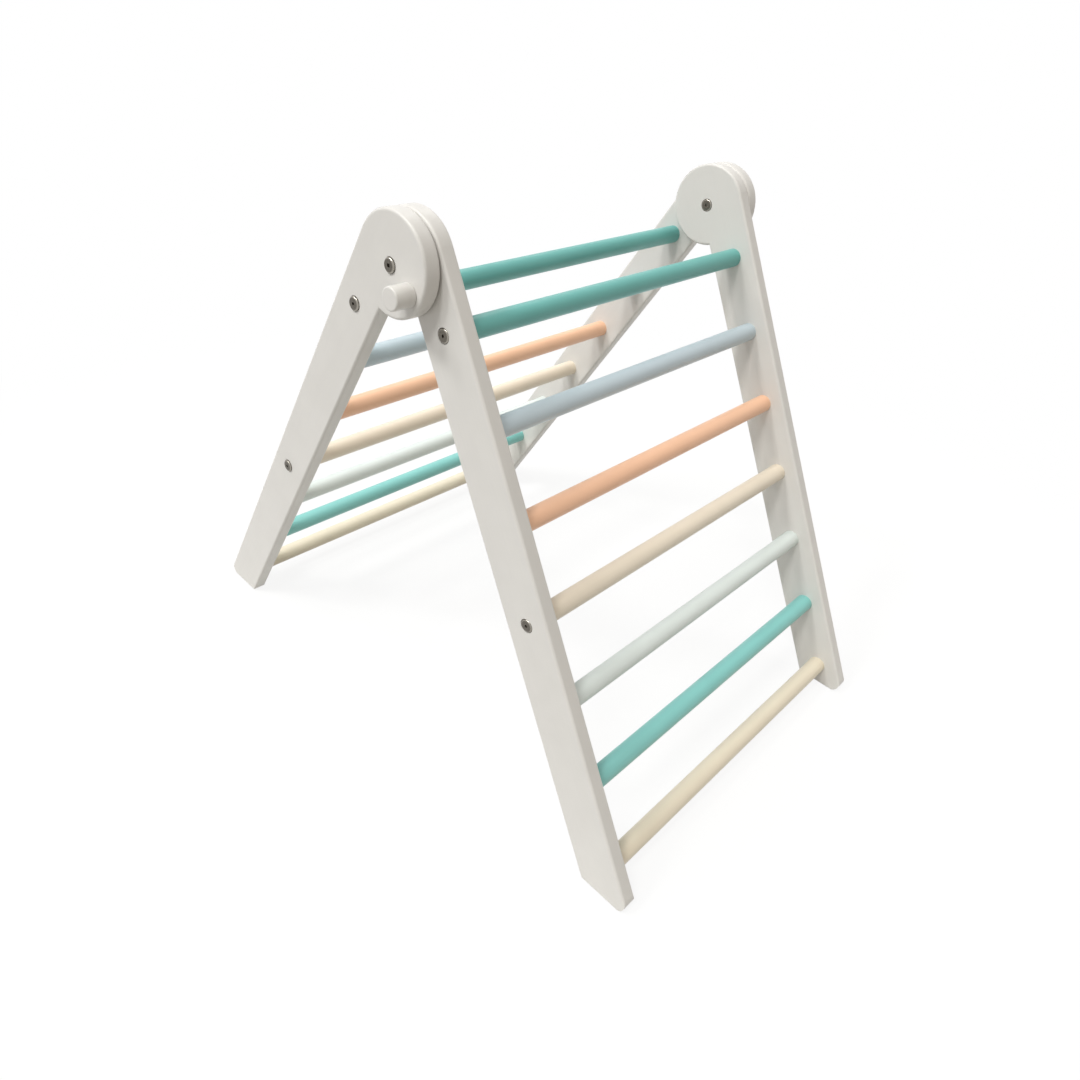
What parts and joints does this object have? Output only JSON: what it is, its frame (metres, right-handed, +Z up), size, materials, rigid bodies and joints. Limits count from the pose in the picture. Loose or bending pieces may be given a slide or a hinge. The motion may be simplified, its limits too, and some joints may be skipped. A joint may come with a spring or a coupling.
{
  "type": "folding climbing triangle",
  "caption": "Folding climbing frame of painted wood: two ladders with round rungs, hinged at disc-shaped rail heads and held by a screw knob.",
  "frame": {"origin": "on the floor, midway between the four feet, below the middle of the pivot line", "axes": "+X along the rungs, the front ladder leans towards -Y and the back ladder towards +Y, +Z up"},
  "size_m": [0.7121, 0.9394, 0.7882],
  "materials": {
    "white_paint": "satin white paint on sanded wood",
    "teal_paint": "satin teal paint on a round wooden rod",
    "pale_blue_paint": "satin pale blue-grey paint on a round wooden rod",
    "peach_paint": "satin peach paint on a round wooden rod",
    "cream_paint": "satin cream paint on a round wooden rod",
    "mint_grey_paint": "satin pale mint-grey paint on a round wooden rod",
    "ivory_paint": "satin ivory paint on a round wooden rod",
    "nickel_steel": "dark nickel-plated steel",
    "brass": "turned brass",
    "nylon": "natural nylon"
  },
  "bodies": {
    "back_ladder": {"back_left_rail": "white_paint", "back_right_rail": "white_paint", "back_rung_1": "teal_paint", "back_rung_2": "pale_blue_paint", "back_rung_3": "peach_paint", "back_rung_4": "cream_paint", "back_rung_5": "mint_grey_paint", "back_rung_6": "teal_paint", "back_rung_7": "ivory_paint", "back_rung_bolts": "nickel_steel", "back_rung_inserts": "brass", "left_pivot_bolt": "nickel_steel", "right_pivot_bolt": "nickel_steel", "left_pivot_sleeve": "nickel_steel", "right_pivot_sleeve": "nickel_steel", "left_washer": "nylon", "right_washer": "nylon", "lock_insert": "brass"},
    "front_ladder": {"front_left_rail": "white_paint", "front_right_rail": "white_paint", "front_rung_1": "teal_paint", "front_rung_2": "pale_blue_paint", "front_rung_3": "peach_paint", "front_rung_4": "cream_paint", "front_rung_5": "mint_grey_paint", "front_rung_6": "teal_paint", "front_rung_7": "ivory_paint", "front_rung_bolts": "nickel_steel", "front_rung_inserts": "brass"},
    "lock_pad": {"lock_pad": "brass"},
    "lock_knob": {"lock_knob": "white_paint", "lock_screw": "nickel_steel"}
  },
  "joints": [
    {"name": "fold", "type": "hinge", "parent": "back_ladder", "child": "front_ladder", "pos_m": [0, 0, 0.72675], "axis": [1, 0, 0], "range_deg": [0, 59]},
    {"name": "lock_travel", "type": "slide", "parent": "back_ladder", "child": "lock_pad", "axis": [-1, 0, 0], "range_m": [0, 0.0025]},
    {"name": "lock_turn", "type": "hinge", "parent": "lock_pad", "child": "lock_knob", "pos_m": [-0.341, -0.03338, 0.70294], "axis": [-1, 0, 0], "range_deg": [0, 720]}
  ],
  "couplings": [
    {"joint": "lock_turn", "follows": "lock_travel", "rad_per_m": 5026.5}
  ]
}
